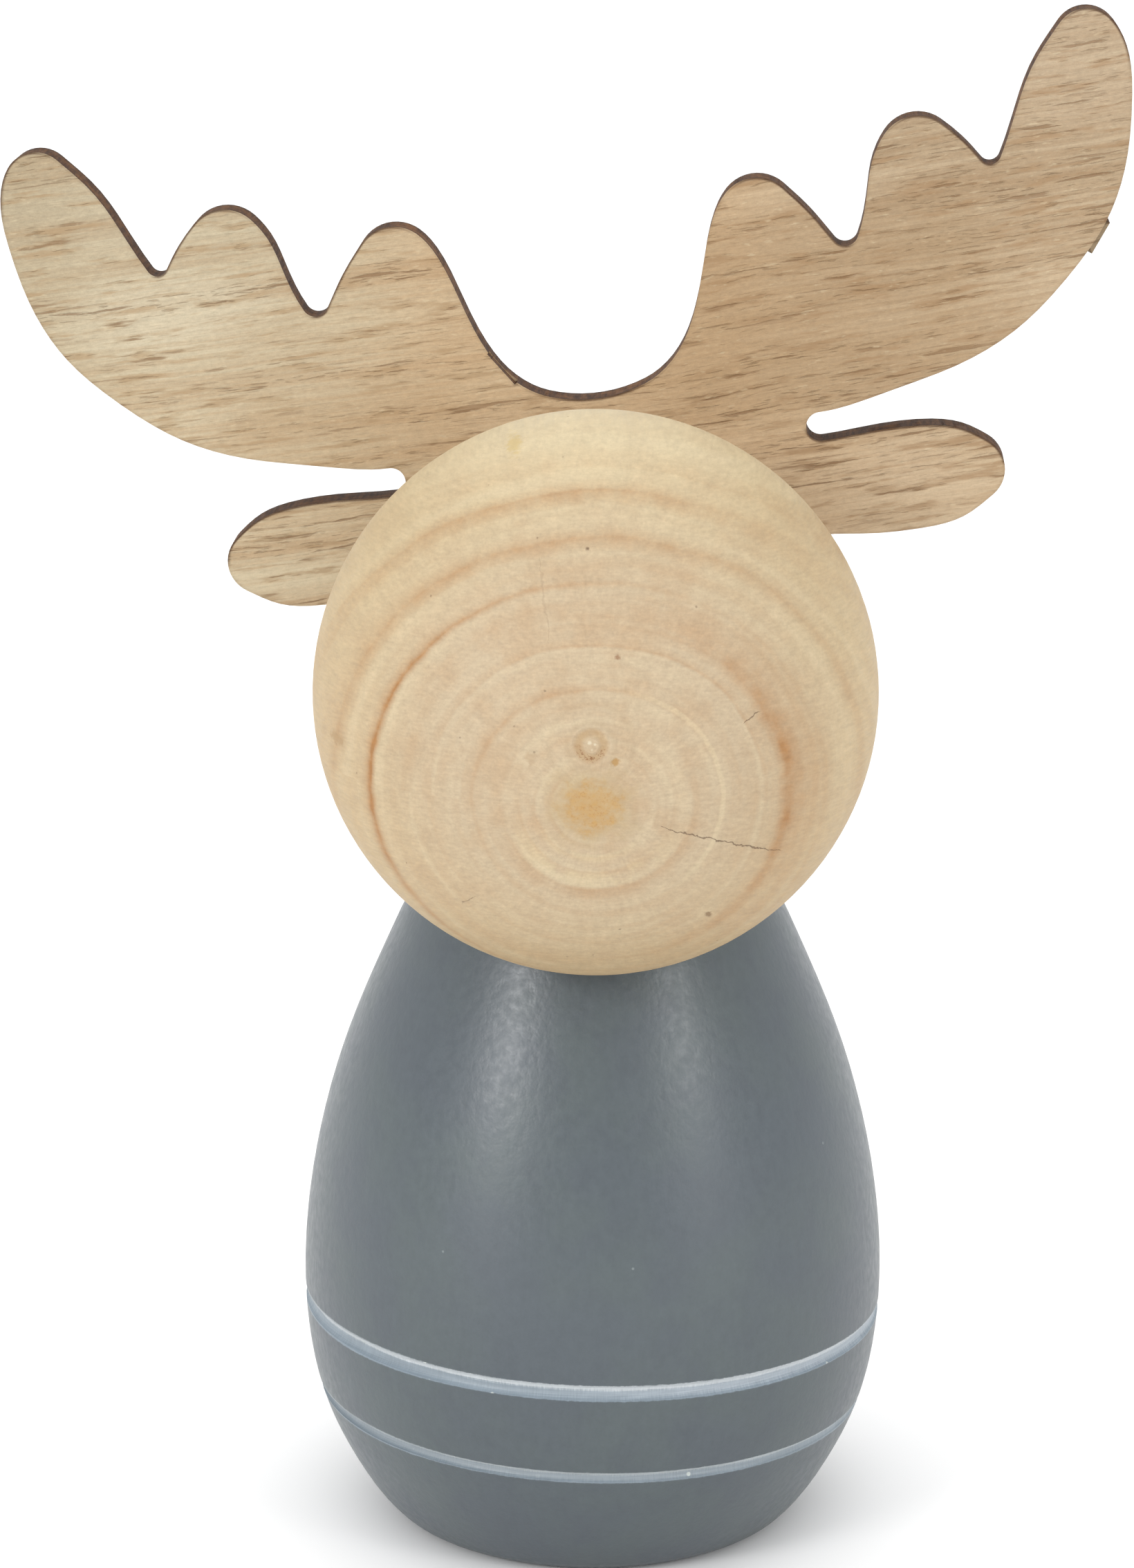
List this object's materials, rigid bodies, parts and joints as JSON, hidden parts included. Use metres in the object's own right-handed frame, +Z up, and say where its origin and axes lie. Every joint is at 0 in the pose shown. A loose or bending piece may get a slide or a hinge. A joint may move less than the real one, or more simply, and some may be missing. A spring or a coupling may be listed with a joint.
{
  "type": "wooden moose figurine",
  "caption": "Small desk or game figurine of a moose: a painted egg-shaped turned body with scored rings, a plain wooden ball for a head, and a thin cut antler and ear sheet behind it.",
  "frame": {"origin": "Centre of the flat foot that the figurine stands on.", "axes": "+Z is up along the body's turning axis. -Y is the front, the way the head ball faces. +X is to the viewer's right when the figurine is seen from the front."},
  "size_m": [0.0925, 0.0655, 0.1286],
  "materials": {
    "painted_wood": "satin blue-grey paint",
    "plain_wood": "sanded, unpainted pale wood",
    "pin_wood": "plain dowel",
    "sheet_wood": "plain oak face with scorched cut edges"
  },
  "bodies": {
    "root": {"turned_body": "painted_wood", "head_ball": "plain_wood", "seat_pin": "pin_wood", "antler_sheet": "sheet_wood"}
  },
  "joints": []
}
